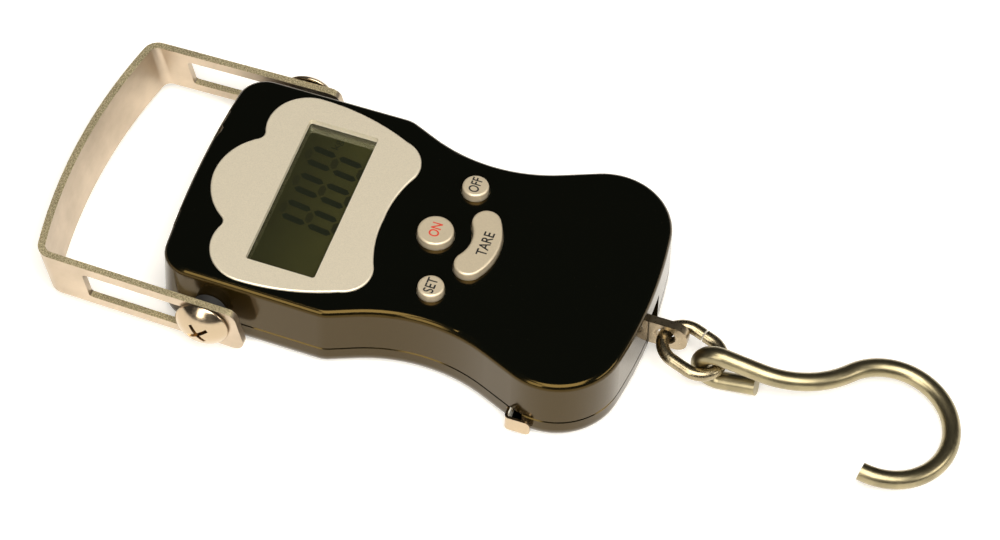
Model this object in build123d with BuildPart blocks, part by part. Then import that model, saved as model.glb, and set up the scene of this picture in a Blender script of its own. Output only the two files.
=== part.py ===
from build123d import *
from math import cos, sin, sqrt, radians, atan, degrees
import os

# A pocket hanging scale lying on its back: the hook end points to -Y, the U handle to +Y, and the
# display looks up along +Z. X is the width. The back face rests on Z = 0 and the origin is at the
# middle of that face. Millimetres.

os.makedirs("parts", exist_ok=True)

# ---------------------------------------------------------------- driving dimensions
CASE_T = 18.5            # thickness of the closed case
PARTING_Z = 6.0          # height of the joint between the two shells
WALL = 2.0               # side and top walls of the shells
FLOOR = 1.5              # floor of the rear shell
TOP_ROUND = 1.5
BOTTOM_ROUND = 3.4
PARTING_GROOVE = 0.25    # small chamfer on both rims, which shows as a line round the case
LIP_GAP = 0.1            # between the rear shell's lip and the front shell
LIP_T = 0.8
LIP_TOP = PARTING_Z + 1.2
CAVITY_TOP = CASE_T - WALL

# Half outline of the case from the handle end to the hook end: x, y, corner radius.
OUTLINE = [
    (0, 52.1, 220),
    (27.6, 49.5, 6.5),
    (28.0, 12.1, 6.5),
    (19.1, -8.4, 36),
    (36.1, -47.5, 14.5),
    (0, -52.6, 110),
]

DISPLAY_Y = 24.9         # centre of the display
WINDOW_W = 40.0          # visible display, along X
WINDOW_H = 15.6          # visible display, along Y
BEZEL_TOP = CASE_T + 0.3
BEZEL_SEAT = CASE_T - 1.2

BOARD_TOP = 14.0
BOARD_T = 1.2
BOARD_BOTTOM = BOARD_TOP - BOARD_T

ON_Y = -3.0              # centre of the ON key, and of the TARE key's arc
ON_R = 3.9
SIDE_KEY_X = 14.2
SIDE_KEY_Y = -7.0
SIDE_KEY_R = 2.85
TARE_R = 11.1            # centre line of the arc
TARE_W = 6.2
TARE_SWEEP = 64          # degrees between the two end centres
KEY_TOP = CASE_T + 1.8
KEY_GAP = 0.3            # between a key and its hole
KEY_FLANGE = 1.2         # how far the flange reaches past the key
KEY_FLANGE_Z = 15.9      # underside of the flange
KEY_FLANGE_TOP = CAVITY_TOP - 0.1

PIVOT_Y = 37.65          # axis of the handle screws, along X
PIVOT_Z = 9.4
STRIP_W = 11.1           # width of the handle strip
STRIP_T = 1.6
STRIP_Z = 9.1            # middle of the strip's width
STRIP_LEAN = 0.25        # how far the strip's edges lean towards +Y for each mm of height
ARM_X = 31.6             # middle of the strip at the pivot
ARM_CORNER_X = 30.75     # middle of the strip at the two bends
ARM_TIP_Y = 29.2
CROSSBAR_Y = 76.5        # middle of the strip at the crossbar's centre
CROSSBAR_BOW = 3.5
CROSSBAR_SKEW = 0.9      # the left bend is this much further out than the right one, each way
BEND_RADIUS = 2.8        # middle of the strip, at the two bends
SLOT_Z = 9.0             # the handle rests with its slots' upper edges on the sleeves
SLOT_H = 6.8
SLOT_START = 34.4
SLOT_END = 64.6

LOAD_Z = 8.0             # height of the load line through cell, strap and link
STRAP_T = 2.0
STRAP_W = 7.0
STRAP_TIP_Y = -60.1
STRAP_HOLE_Y = -55.2
STRAP_HOLE_R = 2.1

LINK_R = 1.4             # radius of the link's wire
LINK_HALF_W = 4.8        # half width of the link's centre line
HOOK_R = 2.0             # radius of the hook's wire
EYE_R = 4.1              # centre line radius of the hook's eye
EYE = (-3.6, -68.1, 6.18)  # centre of the eye
HOOK_DROP = 9.15         # degrees that the hook slopes down to the surface it lies on
SHANK_L = 8.6            # straight shank from the eye to the first bend
BEND_L = 37.4            # from the eye to the middle of the big bend
BEND_R = 13.95           # centre line radius of the big bend
TIP_ANGLE = 187          # degrees round the big bend to the tip

REEL_X = -14.5
REEL_Y = -37.6
COIL_R = 7.2
HUB_R = 3.7
REEL_R = 7.7
BLADE_W = 3.7
BLADE_T = 0.3
BLADE_Z = 2.2
TAB_X = -30.8
TAPE_SLOT_Y = -31.1
TAPE_SLOT_W = 3.7

CELL_R = 5.2             # AAA cell
CELL_L = 44.5
CELL_X = 13.2
CELL_Z = 7.15
BAY_LOW_Y = -19.2        # inner faces of the battery contacts
BAY_HIGH_Y = 28.8
DOOR_HALF_W = 18.6
DOOR_LOW_Y = -21.0
DOOR_T = 1.45
PAD_TOP = 2.6            # raised floor above the battery door

CASE_SCREWS = [(-22, 45), (22, 45), (-20.6, -25), (20.6, -25)]
BOARD_SCREWS = [(-21, 11), (21, 11), (-11, -22), (11, -22)]


# ---------------------------------------------------------------- shared outlines
def case_face(inset=0.0):
    """Face of the case outline, pulled in by inset on every side."""
    mirrored = [(-x, y, r) for x, y, r in reversed(OUTLINE) if x > 0]
    ring = OUTLINE + mirrored
    with BuildSketch() as face:
        with BuildLine():
            FilletPolyline([(x, y) for x, y, r in ring], radius=[r for x, y, r in ring], close=True)
        make_face()
        if inset:
            offset(amount=-inset)
    return face.sketch


def bezel_face(grow=0.0):
    """Display bezel: three round lobes at the handle end and two at the key end."""
    with BuildSketch() as face:
        with BuildLine() as edge:
            ThreePointArc((0, 47.2), (7.6, 44.9), (12.1, 40.0))
            ThreePointArc((12.1, 40.0), (20.2, 40.7), (26.0, 32.5))
            ThreePointArc((26.0, 32.5), (24.9, 21.5), (21.4, 11.1))
            ThreePointArc((21.4, 11.1), (18.3, 6.9), (12.9, 6.3))
            ThreePointArc((12.9, 6.3), (7.0, 8.2), (0, 8.75))
            mirror(about=Plane.YZ)
        make_face()
        fillet(face.vertices().filter_by(lambda v: abs(v.Y - 40.0) < 0.1), 2.0)
        fillet(face.vertices().filter_by(lambda v: abs(v.Y - 6.3) < 0.1), 4.0)
        if grow:
            offset(amount=grow)
    return face.sketch


def tare_face(grow=0.0):
    """Arc-shaped key that follows the round key above it."""
    with BuildSketch() as face:
        with BuildLine(mode=Mode.PRIVATE) as middle:
            CenterArc((0, ON_Y), TARE_R, 270 - TARE_SWEEP / 2, TARE_SWEEP)
        SlotArc(middle.wires()[0], TARE_W + 2 * grow)
    return face.sketch


def round_key_face(x, y, radius, grow=0.0):
    with BuildSketch() as face:
        with Locations((x, y)):
            Circle(radius + grow)
    return face.sketch


def block(low, high, mode=Mode.ADD):
    """Box between two corners."""
    size = [b - a for a, b in zip(low, high)]
    with Locations(Location([(a + b) / 2 for a, b in zip(low, high)])):
        return Box(*size, mode=mode)


KEYS = {
    "on": (lambda grow=0.0: round_key_face(0, ON_Y, ON_R, grow), 0, ON_Y),
    "off": (lambda grow=0.0: round_key_face(SIDE_KEY_X, SIDE_KEY_Y, SIDE_KEY_R, grow), SIDE_KEY_X, SIDE_KEY_Y),
    "set": (lambda grow=0.0: round_key_face(-SIDE_KEY_X, SIDE_KEY_Y, SIDE_KEY_R, grow), -SIDE_KEY_X, SIDE_KEY_Y),
    "tare": (tare_face, 0, ON_Y - TARE_R),
}

# ---------------------------------------------------------------- front shell
STRAP_SLOT_X = (-1.6, 6.2)    # wider than the strap on one side
STRAP_SLOT_Z = (LOAD_Z - 4.0, LOAD_Z + 4.0)
END_Y = -60.0            # beyond the hook end, for cuts that leave through it

with BuildPart() as front_shell:
    with BuildSketch(Plane.XY.offset(PARTING_Z)):
        add(case_face())
    extrude(amount=CASE_T - PARTING_Z)
    fillet(front_shell.faces().sort_by(Axis.Z)[-1].edges(), TOP_ROUND)
    chamfer(front_shell.faces().sort_by(Axis.Z)[0].edges(), PARTING_GROOVE)
    with BuildSketch(Plane.XY.offset(PARTING_Z)):
        add(case_face(WALL))
    extrude(amount=CAVITY_TOP - PARTING_Z, mode=Mode.SUBTRACT)
    # seat and window for the display
    with BuildSketch(Plane.XY.offset(BEZEL_SEAT)):
        add(bezel_face(0.12))
    extrude(amount=CASE_T, mode=Mode.SUBTRACT)
    block((-21.2, DISPLAY_Y - 8.8, CAVITY_TOP - 1), (21.2, DISPLAY_Y + 8.8, CASE_T), Mode.SUBTRACT)
    # key holes
    for key_face, key_x, key_y in KEYS.values():
        with BuildSketch(Plane.XY.offset(CAVITY_TOP - 1)):
            add(key_face(KEY_GAP))
        extrude(amount=CASE_T, mode=Mode.SUBTRACT)
    # bosses for the case screws and posts for the board
    with BuildSketch(Plane.XY.offset(LIP_TOP + 0.2)):
        with Locations(CASE_SCREWS):
            Circle(2.6)
    extrude(amount=CAVITY_TOP - LIP_TOP)
    with BuildSketch(Plane.XY.offset(BOARD_TOP)):
        with Locations(BOARD_SCREWS):
            Circle(2.0)
    extrude(amount=CAVITY_TOP - BOARD_TOP + 0.2)
    with BuildSketch(Plane.XY.offset(PARTING_Z)):
        with Locations(CASE_SCREWS):
            Circle(1.15)
    extrude(amount=8.5, mode=Mode.SUBTRACT)
    with BuildSketch(Plane.XY.offset(BOARD_TOP)):
        with Locations(BOARD_SCREWS):
            Circle(0.85)
    extrude(amount=2.2, mode=Mode.SUBTRACT)
    # ribs that hold the hanger bar down
    for side in (-1, 1):
        low_x = min(side * 15, side * 20)
        block((low_x, PIVOT_Y - 3, PIVOT_Z + 4.05), (low_x + 5, PIVOT_Y + 3, CAVITY_TOP + 0.2))
    # handle screw holes and strap slot
    with BuildSketch(Plane.YZ.offset(-40)):
        with Locations((PIVOT_Y, PIVOT_Z)):
            Circle(2.15)
    extrude(amount=80, mode=Mode.SUBTRACT)
    block((STRAP_SLOT_X[0], END_Y, PARTING_Z - 1), (STRAP_SLOT_X[1], -44, STRAP_SLOT_Z[1]), Mode.SUBTRACT)
front_shell.part.label = "front_shell"
export_step(front_shell.part, "parts/front_shell.step")

# ---------------------------------------------------------------- rear shell
BAY_X = (7.4, 18.7)      # battery bay, from the inner rib to the outer edge of the opening
RIB = 0.7

with BuildPart() as rear_shell:
    with BuildSketch():
        add(case_face())
    extrude(amount=PARTING_Z)
    fillet(rear_shell.faces().sort_by(Axis.Z)[0].edges(), BOTTOM_ROUND)
    chamfer(rear_shell.faces().sort_by(Axis.Z)[-1].edges(), PARTING_GROOVE)
    with BuildSketch(Plane.XY.offset(FLOOR)):
        add(case_face(WALL))
    extrude(amount=PARTING_Z, mode=Mode.SUBTRACT)
    # lip inside the front shell, on a thicker foot
    for ring_low, ring_high, outer in ((4.4, 5.9, WALL - 0.2), (5.0, LIP_TOP, WALL + LIP_GAP)):
        with BuildSketch(Plane.XY.offset(ring_low)):
            add(case_face(outer))
            add(case_face(WALL + LIP_GAP + LIP_T), mode=Mode.SUBTRACT)
        extrude(amount=ring_high - ring_low)
    # raised floor over the battery door, then the door's track and the two bays
    with BuildSketch(Plane.XY.offset(FLOOR - 0.3)):
        with Locations((0, 15)):
            Rectangle(46, 74)
        add(case_face(WALL - 0.2), mode=Mode.INTERSECT)
    extrude(amount=PAD_TOP - FLOOR + 0.3)
    block((-DOOR_HALF_W - 0.15, DOOR_LOW_Y - 0.15, -1), (DOOR_HALF_W + 0.15, 60, FLOOR), Mode.SUBTRACT)
    for side in (-1, 1):
        near, far = sorted((side * BAY_X[0], side * BAY_X[1]))
        block((near, BAY_LOW_Y - 0.4, -1), (far, BAY_HIGH_Y + 0.4, PAD_TOP), Mode.SUBTRACT)
        # ribs round each bay
        rib_low, rib_high = sorted((side * (BAY_X[0] - RIB), side * BAY_X[0]))
        block((rib_low, BAY_LOW_Y - 0.4, PAD_TOP - 0.3), (rib_high, BAY_HIGH_Y + 0.4, 11))
        for y in (BAY_LOW_Y - 0.4 - RIB, BAY_HIGH_Y + 0.4):
            block((min(near, rib_low), y, PAD_TOP - 0.3), (max(far, rib_high), y + RIB, 11))
        # saddle under the hanger bar
        low_x = min(side * 10, side * 21)
        block((low_x, PIVOT_Y - 3.4, PAD_TOP - 0.3), (low_x + 11, PIVOT_Y + 3.4, PIVOT_Z - 4.05))
    # screw bosses
    with BuildSketch(Plane.XY.offset(FLOOR - 0.3)):
        with Locations(CASE_SCREWS):
            Circle(2.6)
        add(case_face(WALL + LIP_GAP), mode=Mode.INTERSECT)
    extrude(amount=LIP_TOP - FLOOR + 0.3)
    with BuildSketch(Plane.XY.offset(-1)):
        with Locations(CASE_SCREWS):
            Circle(1.4)
    extrude(amount=12, mode=Mode.SUBTRACT)
    with BuildSketch(Plane.XY.offset(-1)):
        with Locations(CASE_SCREWS):
            Circle(2.4)
    extrude(amount=3.4, mode=Mode.SUBTRACT)
    # axle hole, tape slot and strap slot
    with BuildSketch(Plane.XY.offset(0.6)):
        with Locations((REEL_X, REEL_Y)):
            Circle(1.5)
    extrude(amount=3, mode=Mode.SUBTRACT)
    block((-35, TAPE_SLOT_Y - TAPE_SLOT_W / 2, FLOOR + 0.1),
          (-24, TAPE_SLOT_Y + TAPE_SLOT_W / 2, LIP_TOP + 1), Mode.SUBTRACT)
    block((STRAP_SLOT_X[0], END_Y, STRAP_SLOT_Z[0]), (STRAP_SLOT_X[1], -44, LIP_TOP + 1), Mode.SUBTRACT)
rear_shell.part.label = "rear_shell"
export_step(rear_shell.part, "parts/rear_shell.step")

# ---------------------------------------------------------------- battery door
with BuildPart() as battery_door:
    with BuildSketch():
        add(case_face())
    extrude(amount=PARTING_Z)
    fillet(battery_door.faces().sort_by(Axis.Z)[0].edges(), BOTTOM_ROUND)
    with BuildSketch():
        with Locations((0, (DOOR_LOW_Y + 60) / 2)):
            Rectangle(2 * DOOR_HALF_W, 60 - DOOR_LOW_Y)
    extrude(amount=DOOR_T, mode=Mode.INTERSECT)
    # finger ridges near the handle end
    for i in range(5):
        block((-8, 36 + 2.2 * i, -1), (8, 37 + 2.2 * i, 0.4), Mode.SUBTRACT)
battery_door.part.label = "battery_door"
export_step(battery_door.part, "parts/battery_door.step")

# ---------------------------------------------------------------- case screws
with BuildPart() as case_screws:
    with BuildSketch(Plane.XY.offset(0.6)):
        with Locations(CASE_SCREWS):
            Circle(2.2)
    extrude(amount=1.7)
    with BuildSketch(Plane.XY.offset(2.0)):
        with Locations(CASE_SCREWS):
            Circle(1.1)
    extrude(amount=12)
    for x, y in CASE_SCREWS:
        block((x - 1.5, y - 0.3, 0), (x + 1.5, y + 0.3, 1.3), Mode.SUBTRACT)
        block((x - 0.3, y - 1.5, 0), (x + 0.3, y + 1.5, 1.3), Mode.SUBTRACT)
case_screws.part.label = "case_screws"
export_step(case_screws.part, "parts/case_screws.step")

# ---------------------------------------------------------------- display
with BuildPart() as display_bezel:
    with BuildSketch(Plane.XY.offset(BEZEL_SEAT)):
        add(bezel_face())
    extrude(amount=BEZEL_TOP - BEZEL_SEAT)
    fillet(display_bezel.faces().sort_by(Axis.Z)[-1].edges(), 0.35)
    with BuildSketch(Plane.XY.offset(BEZEL_SEAT - 1)):
        with Locations((0, DISPLAY_Y)):
            RectangleRounded(WINDOW_W, WINDOW_H, 0.6)
    extrude(amount=4, mode=Mode.SUBTRACT)
display_bezel.part.label = "display_bezel"
export_step(display_bezel.part, "parts/display_bezel.step")

with BuildPart() as lcd_window:
    block((-21, DISPLAY_Y - 8.6, CAVITY_TOP + 0.05), (21, DISPLAY_Y + 8.6, BEZEL_SEAT - 0.05))
lcd_window.part.label = "lcd_window"
export_step(lcd_window.part, "parts/lcd_window.step")

LCD_BOTTOM = 15.2
with BuildPart() as lcd_panel:
    block((-22.5, DISPLAY_Y - 9, LCD_BOTTOM), (22.5, DISPLAY_Y + 9, CAVITY_TOP - 0.05))
lcd_panel.part.label = "lcd_panel"
export_step(lcd_panel.part, "parts/lcd_panel.step")

with BuildPart() as lcd_connector:
    for y in (DISPLAY_Y - 7.9, DISPLAY_Y + 7.2):
        block((-21, y - 0.9, BOARD_TOP), (21, y + 0.9, LCD_BOTTOM))
lcd_connector.part.label = "lcd_connector"
export_step(lcd_connector.part, "parts/lcd_connector.step")

# ---------------------------------------------------------------- circuit board
with BuildPart() as main_board:
    with BuildSketch(Plane.XY.offset(BOARD_BOTTOM)):
        with Locations((0, 4.4)):
            Rectangle(50, 57.8)
        add(case_face(WALL + 0.8), mode=Mode.INTERSECT)
        with Locations(CASE_SCREWS[2:]):
            Circle(3.1, mode=Mode.SUBTRACT)
        with Locations(BOARD_SCREWS):
            Circle(1.05, mode=Mode.SUBTRACT)
    extrude(amount=BOARD_T)
main_board.part.label = "main_board"
export_step(main_board.part, "parts/main_board.step")

with BuildPart() as board_screws:
    with BuildSketch(Plane.XY.offset(BOARD_BOTTOM - 1.1)):
        with Locations(BOARD_SCREWS):
            Circle(1.7)
    extrude(amount=1.1)
    with BuildSketch(Plane.XY.offset(BOARD_BOTTOM - 0.1)):
        with Locations(BOARD_SCREWS):
            Circle(0.8)
    extrude(amount=3.2)
board_screws.part.label = "board_screws"
export_step(board_screws.part, "parts/board_screws.step")

with BuildPart() as board_chip:
    with BuildSketch(Plane.XY.offset(BOARD_BOTTOM - 0.8)):
        with Locations((0, -15)):
            Circle(3.6)
    extrude(amount=0.8)
    fillet(board_chip.faces().sort_by(Axis.Z)[0].edges(), 0.5)
board_chip.part.label = "board_chip"
export_step(board_chip.part, "parts/board_chip.step")

with BuildPart() as board_parts:
    for x, y in ((-9, 8), (-6, 8), (-3, 8), (3, 8), (6, 8), (9, 8), (17.5, 4), (-17.5, 4)):
        block((x - 0.5, y - 1, BOARD_TOP), (x + 0.5, y + 1, BOARD_TOP + 0.6))
board_parts.part.label = "board_parts"
export_step(board_parts.part, "parts/board_parts.step")

# ---------------------------------------------------------------- keys and their switches
for key_name, (key_face, key_x, key_y) in KEYS.items():
    with BuildPart() as key:
        with BuildSketch(Plane.XY.offset(KEY_FLANGE_Z)):
            add(key_face())
        extrude(amount=KEY_TOP - KEY_FLANGE_Z)
        fillet(key.faces().sort_by(Axis.Z)[-1].edges(), 0.5)
        with BuildSketch(Plane.XY.offset(KEY_FLANGE_Z)):
            add(key_face(KEY_FLANGE))
        extrude(amount=KEY_FLANGE_TOP - KEY_FLANGE_Z)
    key.part.label = f"{key_name}_key"
    export_step(key.part, f"parts/{key_name}_key.step")

    with BuildPart() as plunger:
        with BuildSketch(Plane.XY.offset(BOARD_TOP + 0.7)):
            with Locations((key_x, key_y)):
                Circle(1.6)
        extrude(amount=KEY_FLANGE_Z - BOARD_TOP - 0.7)
    plunger.part.label = f"{key_name}_plunger"
    export_step(plunger.part, f"parts/{key_name}_plunger.step")

    with BuildPart() as switch:
        with BuildSketch(Plane.XY.offset(BOARD_TOP)):
            with Locations((key_x, key_y)):
                RectangleRounded(6, 6, 0.5)
                Circle(1.75, mode=Mode.SUBTRACT)
        extrude(amount=1.2)
    switch.part.label = f"{key_name}_switch"
    export_step(switch.part, f"parts/{key_name}_switch.step")

# ---------------------------------------------------------------- load cell and hanger bar
CELL_LOW_Y = -8.4
BAR_HALF = 4.0
CELL_HIGH_Y = PIVOT_Y - BAR_HALF - 0.05
CELL_MID_Y = (CELL_LOW_Y + CELL_HIGH_Y) / 2
CELL_SLOT = 2.0
CELL_WEB = 2.8           # material left beside each slot
CELL_HALF_W = 6.0
CELL_HALF_H = 3.5
PIN_Y = -4.8
PIN_R = 1.25
CELL_SCREW_X = 3.5

with BuildPart() as load_cell:
    block((-CELL_HALF_W, CELL_LOW_Y, LOAD_Z - CELL_HALF_H), (CELL_HALF_W, CELL_HIGH_Y, LOAD_Z + CELL_HALF_H))
    # the S shape: one slot from each side, with a double hole between them
    for side, y in ((1, CELL_MID_Y + 11), (-1, CELL_MID_Y - 11)):
        low_x, high_x = sorted((side * (CELL_HALF_W + 1), -side * (CELL_HALF_W - CELL_WEB)))
        block((low_x, y - CELL_SLOT / 2, 0), (high_x, y + CELL_SLOT / 2, 20), Mode.SUBTRACT)
    with BuildSketch(Plane.XY):
        with Locations((0, CELL_MID_Y - 3.4), (0, CELL_MID_Y + 3.4)):
            Circle(3.2)
        with Locations((0, CELL_MID_Y)):
            Rectangle(2, 8)
    extrude(amount=20, mode=Mode.SUBTRACT)
    # fork for the strap, with its cross pin
    block((-STRAP_T / 2 - 0.05, CELL_LOW_Y - 1, 0), (STRAP_T / 2 + 0.05, -1.0, 20), Mode.SUBTRACT)
    with BuildSketch(Plane.YZ.offset(-10)):
        with Locations((PIN_Y, LOAD_Z)):
            Circle(PIN_R)
    extrude(amount=20, mode=Mode.SUBTRACT)
    # tapped holes for the two screws
    with BuildSketch(Plane.XZ.offset(-CELL_HIGH_Y - 1)):
        with Locations((-CELL_SCREW_X, LOAD_Z), (CELL_SCREW_X, LOAD_Z)):
            Circle(1.45)
    extrude(amount=8, mode=Mode.SUBTRACT)
load_cell.part.label = "load_cell"
export_step(load_cell.part, "parts/load_cell.step")

with BuildPart() as hanger_bar:
    block((-23.8, PIVOT_Y - BAR_HALF, PIVOT_Z - BAR_HALF), (23.8, PIVOT_Y + BAR_HALF, PIVOT_Z + BAR_HALF))
    chamfer(hanger_bar.edges().filter_by(Axis.X), 0.4)
    with BuildSketch(Plane.YZ.offset(-30)):
        with Locations((PIVOT_Y, PIVOT_Z)):
            Circle(2.05)
    extrude(amount=16, mode=Mode.SUBTRACT)
    with BuildSketch(Plane.YZ.offset(14)):
        with Locations((PIVOT_Y, PIVOT_Z)):
            Circle(2.05)
    extrude(amount=16, mode=Mode.SUBTRACT)
    with BuildSketch(Plane.XZ.offset(-PIVOT_Y - 10)):
        with Locations((-CELL_SCREW_X, LOAD_Z), (CELL_SCREW_X, LOAD_Z)):
            Circle(1.5)
    extrude(amount=20, mode=Mode.SUBTRACT)
hanger_bar.part.label = "hanger_bar"
export_step(hanger_bar.part, "parts/hanger_bar.step")

with BuildPart() as cell_screws:
    with BuildSketch(Plane.XZ.offset(-PIVOT_Y - BAR_HALF - 1.8)):
        with Locations((-CELL_SCREW_X, LOAD_Z), (CELL_SCREW_X, LOAD_Z)):
            Circle(2.6)
    extrude(amount=1.8)
    with BuildSketch(Plane.XZ.offset(-PIVOT_Y - BAR_HALF - 0.1)):
        with Locations((-CELL_SCREW_X, LOAD_Z), (CELL_SCREW_X, LOAD_Z)):
            Circle(1.4)
    extrude(amount=14)
cell_screws.part.label = "cell_screws"
export_step(cell_screws.part, "parts/cell_screws.step")

GAUGE_T = 0.25
with BuildPart() as strain_gauges:
    for side in (-1, 1):
        for y in (CELL_MID_Y - 3.4, CELL_MID_Y + 3.4):
            low_x = min(side * CELL_HALF_W, side * (CELL_HALF_W + GAUGE_T))
            block((low_x, y - 2.2, LOAD_Z - 1.6), (low_x + GAUGE_T, y + 2.2, LOAD_Z + 1.6))
strain_gauges.part.label = "strain_gauges"
export_step(strain_gauges.part, "parts/strain_gauges.step")

LEAD_R = 0.2
with BuildPart() as gauge_leads:
    with BuildSketch(Plane.XY.offset(LOAD_Z)):
        for side in (-1, 1):
            for y in (CELL_MID_Y - 3.4, CELL_MID_Y + 3.4):
                with Locations((side * (CELL_HALF_W + GAUGE_T + LEAD_R), y)):
                    Circle(LEAD_R)
    extrude(amount=BOARD_BOTTOM - LOAD_Z)
gauge_leads.part.label = "gauge_leads"
export_step(gauge_leads.part, "parts/gauge_leads.step")

# ---------------------------------------------------------------- strap
with BuildPart() as hook_strap:
    block((-STRAP_T / 2, STRAP_TIP_Y, LOAD_Z - STRAP_W / 2), (STRAP_T / 2, -1.2, LOAD_Z + STRAP_W / 2))
    tip_edges = hook_strap.edges().filter_by(Axis.X).group_by(Axis.Y)[0]
    fillet(tip_edges, 2.8)
    with BuildSketch(Plane.YZ.offset(-5)):
        with Locations((STRAP_HOLE_Y, LOAD_Z)):
            Circle(STRAP_HOLE_R)
        with Locations((PIN_Y, LOAD_Z)):
            Circle(PIN_R)
    extrude(amount=10, mode=Mode.SUBTRACT)
    round_edges = hook_strap.edges().filter_by(GeomType.CIRCLE)
    chamfer(round_edges.filter_by(lambda e: abs(e.radius - STRAP_HOLE_R) < 0.01), 0.3)
hook_strap.part.label = "hook_strap"
export_step(hook_strap.part, "parts/hook_strap.step")

with BuildPart() as strap_pin:
    with BuildSketch(Plane.YZ.offset(-CELL_HALF_W)):
        with Locations((PIN_Y, LOAD_Z)):
            Circle(PIN_R)
    extrude(amount=2 * CELL_HALF_W)
strap_pin.part.label = "strap_pin"
export_step(strap_pin.part, "parts/strap_pin.step")

# ---------------------------------------------------------------- handle and its pivots
with BuildPart() as handle:
    strip_foot = Plane((0, -STRIP_LEAN * STRIP_W / 2, STRIP_Z - STRIP_W / 2))
    arm_slope = (ARM_X - ARM_CORNER_X) / (CROSSBAR_Y - CROSSBAR_BOW - PIVOT_Y)
    tip_x = ARM_X + arm_slope * (PIVOT_Y - ARM_TIP_Y)
    with BuildSketch(strip_foot):
        with BuildLine() as strip_line:
            corner_l = (-ARM_CORNER_X, CROSSBAR_Y - CROSSBAR_BOW + CROSSBAR_SKEW)
            corner_r = (ARM_CORNER_X, CROSSBAR_Y - CROSSBAR_BOW - CROSSBAR_SKEW)
            Line((-tip_x, ARM_TIP_Y), corner_l)
            ThreePointArc(corner_l, (0, CROSSBAR_Y), corner_r)
            Line(corner_r, (tip_x, ARM_TIP_Y))
            fillet(strip_line.vertices().filter_by(lambda v: v.Y > 50), BEND_RADIUS)
        trace(strip_line.line, line_width=STRIP_T)
    lean = sqrt(1 + STRIP_LEAN ** 2)
    extrude(amount=STRIP_W * lean, dir=(0, STRIP_LEAN / lean, 1 / lean))
    # long slot through both arms, its ends leaning with the strip
    with BuildSketch(Plane.YZ.offset(-40)) as slot:
        half = SLOT_H / 2
        shift = STRIP_LEAN * half
        Polygon(
            (SLOT_START - shift, SLOT_Z - half),
            (SLOT_END - shift, SLOT_Z - half),
            (SLOT_END + shift, SLOT_Z + half),
            (SLOT_START + shift, SLOT_Z + half),
            align=None,
        )
        fillet(slot.vertices(), 0.8)
    extrude(amount=80, mode=Mode.SUBTRACT)
    tip_corners = handle.edges().filter_by(lambda e: e.center().Y < ARM_TIP_Y + 2 and e.length < 1.8)
    fillet(tip_corners, 2.4)
handle.part.label = "handle"
export_step(handle.part, "parts/handle.step")

SPACER_X = (27.9, 30.1)
SPACER_R = 3.6
SLEEVE_X = (30.15, 32.7)
SLEEVE_R = 2.9
HEAD_X = 32.8            # underside of the head
HEAD_R = 6.0
HEAD_H = 3.3
HEAD_RIM = 0.4           # upright edge below the dome
dome_rise = HEAD_H - HEAD_RIM
dome_r = (HEAD_R ** 2 + dome_rise ** 2) / (2 * dome_rise)
DOME_MIDDLE = (HEAD_X + HEAD_H - dome_r + sqrt(dome_r ** 2 - (HEAD_R / 2) ** 2), HEAD_R / 2)
for side, side_name in ((1, "right"), (-1, "left")):
    pivot_plane = Plane((0, PIVOT_Y, PIVOT_Z), x_dir=(0, 1, 0), z_dir=(side, 0, 0))
    with BuildPart() as handle_screw:
        with BuildSketch(pivot_plane.offset(16.5)):
            Circle(2.0)
        extrude(amount=HEAD_X - 16.5 + 0.1)
        # domed head, turned about the screw's axis
        with BuildSketch(Plane((0, PIVOT_Y, PIVOT_Z), x_dir=(side, 0, 0), z_dir=(0, 0, side))) as profile:
            with BuildLine():
                Polyline((HEAD_X + HEAD_H, 0), (HEAD_X, 0), (HEAD_X, HEAD_R), (HEAD_X + HEAD_RIM, HEAD_R))
                ThreePointArc((HEAD_X + HEAD_RIM, HEAD_R), DOME_MIDDLE, (HEAD_X + HEAD_H, 0))
            make_face()
        revolve(axis=Axis((0, PIVOT_Y, PIVOT_Z), (1, 0, 0)))
        # cross recess
        with BuildSketch(pivot_plane.offset(HEAD_X + HEAD_H - 1.9)):
            Rectangle(5.2, 1.1, rotation=38)
            Rectangle(1.1, 5.2, rotation=38)
        extrude(amount=3, mode=Mode.SUBTRACT)
    handle_screw.part.label = f"handle_screw_{side_name}"
    export_step(handle_screw.part, f"parts/handle_screw_{side_name}.step")

    with BuildPart() as handle_spacer:
        with BuildSketch(pivot_plane.offset(SPACER_X[0])):
            Circle(SPACER_R)
            Circle(2.05, mode=Mode.SUBTRACT)
        extrude(amount=SPACER_X[1] - SPACER_X[0])
    handle_spacer.part.label = f"handle_spacer_{side_name}"
    export_step(handle_spacer.part, f"parts/handle_spacer_{side_name}.step")

with BuildPart() as slot_sleeves:
    for side in (-1, 1):
        pivot_plane = Plane((0, PIVOT_Y, PIVOT_Z), x_dir=(0, 1, 0), z_dir=(side, 0, 0))
        with BuildSketch(pivot_plane.offset(SLEEVE_X[0])):
            Circle(SLEEVE_R)
            Circle(2.06, mode=Mode.SUBTRACT)
        extrude(amount=SLEEVE_X[1] - SLEEVE_X[0])
slot_sleeves.part.label = "slot_sleeves"
export_step(slot_sleeves.part, "parts/slot_sleeves.step")

# ---------------------------------------------------------------- link between strap and hook
strap_hole = Vector(0, STRAP_HOLE_Y, LOAD_Z)
eye_centre = Vector(*EYE)
link_axis = eye_centre - strap_hole
LINK_HALF_L = link_axis.length / 2
link_across = Vector(-link_axis.Y, link_axis.X, 0).normalized()
link_plane = Plane(origin=(strap_hole + eye_centre) / 2, x_dir=link_axis, z_dir=link_across.cross(link_axis) * -1)

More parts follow.
